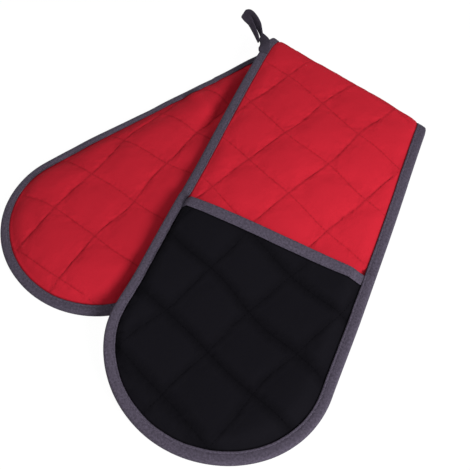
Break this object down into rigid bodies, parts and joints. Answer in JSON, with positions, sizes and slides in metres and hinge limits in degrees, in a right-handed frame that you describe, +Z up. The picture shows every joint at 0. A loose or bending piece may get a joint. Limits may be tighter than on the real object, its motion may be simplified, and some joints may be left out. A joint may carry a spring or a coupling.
{
  "type": "double oven glove",
  "caption": "Quilted double oven glove: one folded strip with a hand pocket at each end, bound edges and a hanging loop.",
  "frame": {"origin": "on the surface that the glove lies on, under the middle of its bounding box", "axes": "+X from the fold towards the two rounded ends, +Y along the fold from the hanging loop, +Z up from the surface that the glove lies on"},
  "size_m": [0.4146, 0.3564, 0.0399],
  "materials": {
    "red_cotton": "quilted plain-weave cotton, matt",
    "red_lining": "quilted cotton face of the strip's folded-in side, and the pockets' linings, matt",
    "black_cotton": "quilted plain-weave cotton, matt",
    "grey_binding": "folded cotton bias tape, stitched near its inner edge",
    "grey_tape": "woven cotton tape",
    "white_wadding": "needled cotton wadding, inside the quilting"
  },
  "bodies": {
    "rear_leg": {"rear_outer_cover": "red_cotton", "rear_wadding": "white_wadding", "rear_inner_cover": "red_lining", "rear_edge_binding": "grey_binding", "rear_pocket_sewn_edge": "black_cotton"},
    "rear_pocket": {"rear_pocket_cover": "black_cotton", "rear_pocket_wadding": "white_wadding", "rear_pocket_lining": "red_lining", "rear_mouth_binding": "grey_binding"},
    "front_leg": {"front_outer_cover": "red_cotton", "front_wadding": "white_wadding", "front_inner_cover": "red_lining", "front_edge_binding": "grey_binding", "front_pocket_sewn_edge": "black_cotton"},
    "front_pocket": {"front_pocket_cover": "black_cotton", "front_pocket_wadding": "white_wadding", "front_pocket_lining": "red_lining", "front_mouth_binding": "grey_binding"},
    "fold_lower": {"fold_lower_outer_cover": "red_cotton", "fold_lower_wadding": "white_wadding", "fold_lower_inner_cover": "red_lining", "fold_lower_left_binding": "grey_binding", "fold_lower_right_binding": "grey_binding"},
    "fold_upper": {"fold_upper_outer_cover": "red_cotton", "fold_upper_wadding": "white_wadding", "fold_upper_inner_cover": "red_lining", "fold_upper_left_binding": "grey_binding", "fold_upper_right_binding": "grey_binding", "loop_tab": "grey_tape"},
    "hanging_loop": {"hanging_loop": "grey_tape"}
  },
  "joints": [
    {"name": "fold_hinge_lower", "type": "hinge", "parent": "rear_leg", "child": "fold_lower", "pos_m": [-0.18986, -0.0043, 0], "axis": [0, -1, 0], "range_deg": [0, 60]},
    {"name": "fold_hinge_middle", "type": "hinge", "parent": "fold_lower", "child": "fold_upper", "pos_m": [-0.19788, -0.0043, 0.0139], "axis": [0, -1, 0], "range_deg": [0, 60]},
    {"name": "fold_hinge_upper", "type": "hinge", "parent": "fold_upper", "child": "front_leg", "pos_m": [-0.18986, -0.0043, 0.0278], "axis": [0, -1, 0], "range_deg": [0, 60]},
    {"name": "front_pocket_lift", "type": "hinge", "parent": "front_leg", "child": "front_pocket", "pos_m": [0.19334, 0.10343, 0.00801], "axis": [-0.2602, 0.9645, -0.045], "range_deg": [0, 12]},
    {"name": "rear_pocket_lift", "type": "hinge", "parent": "rear_leg", "child": "rear_pocket", "pos_m": [0.16148, -0.10343, 0.0013], "axis": [-0.2605, -0.9655, 0], "range_deg": [0, 12]},
    {"name": "loop_swing", "type": "hinge", "parent": "fold_upper", "child": "hanging_loop", "pos_m": [-0.19046, -0.11136, 0.01915], "axis": [-1, 0, 0], "range_deg": [-80, 90]}
  ],
  "couplings": [
    {"joint": "fold_hinge_middle", "follows": "fold_hinge_lower", "ratio": 1},
    {"joint": "fold_hinge_upper", "follows": "fold_hinge_lower", "ratio": 1}
  ]
}
